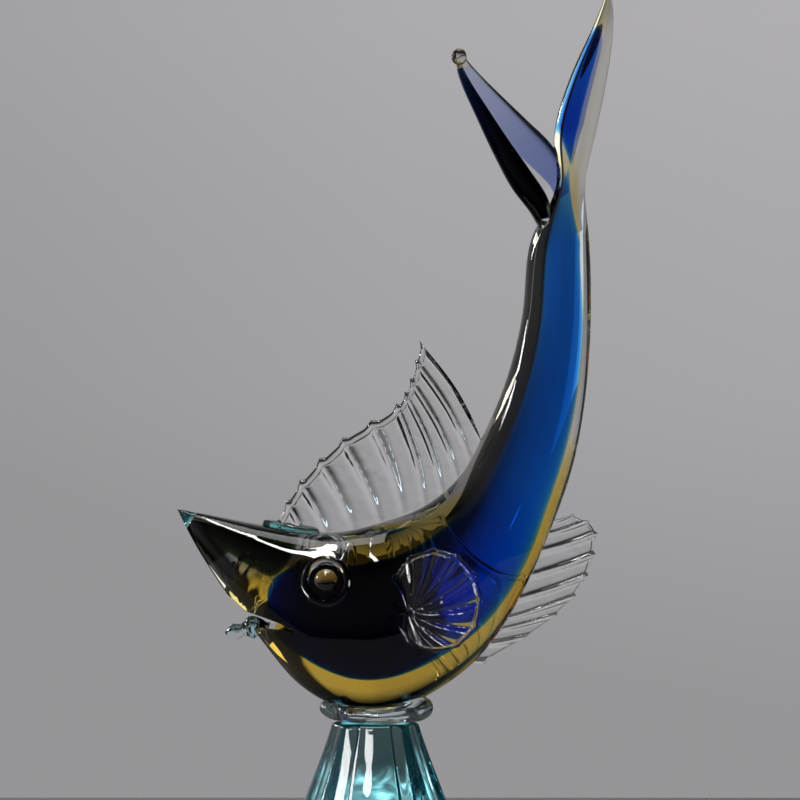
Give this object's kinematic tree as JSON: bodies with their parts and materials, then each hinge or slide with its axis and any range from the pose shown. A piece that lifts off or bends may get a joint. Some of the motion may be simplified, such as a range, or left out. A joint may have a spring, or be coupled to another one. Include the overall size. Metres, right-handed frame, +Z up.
{
  "type": "glass fish figurine",
  "caption": "Leaping fish figurine in cased cobalt, amber and clear glass, with applied ribbed fins, on a flared aquamarine glass foot.",
  "frame": {"origin": "centre of the ground underside of the foot, the flat face that the figurine rests on", "axes": "+Z up; the fish lies in the XZ plane with its beak towards -X and its tail on the +X side; Y is its thickness"},
  "size_m": [0.2049, 0.0954, 0.411],
  "materials": {
    "clear_glass": "fire polished clear glass",
    "aquamarine_glass": "fire polished transparent aquamarine glass",
    "amber_glass": "transparent amber glass inside clear glass",
    "cobalt_glass": "deep transparent cobalt glass inside amber glass",
    "smoke_glass": "fire polished dark glass with an amber cast"
  },
  "bodies": {
    "root": {"foot": "aquamarine_glass", "collar": "clear_glass", "body_casing": "clear_glass", "amber_layer": "amber_glass", "cobalt_core": "cobalt_glass", "beak_tip": "aquamarine_glass", "tail_lobe_front": "clear_glass", "tail_lobe_front_core": "cobalt_glass", "tail_bead_front": "amber_glass", "dorsal_fin": "clear_glass", "anal_fin": "clear_glass", "brow_thread": "aquamarine_glass", "lower_lip": "clear_glass", "pectoral_fin_near": "clear_glass", "pectoral_fin_far": "clear_glass", "eye_ring_near": "clear_glass", "eye_ring_far": "clear_glass", "pupil_near": "smoke_glass", "pupil_far": "smoke_glass"}
  },
  "joints": []
}
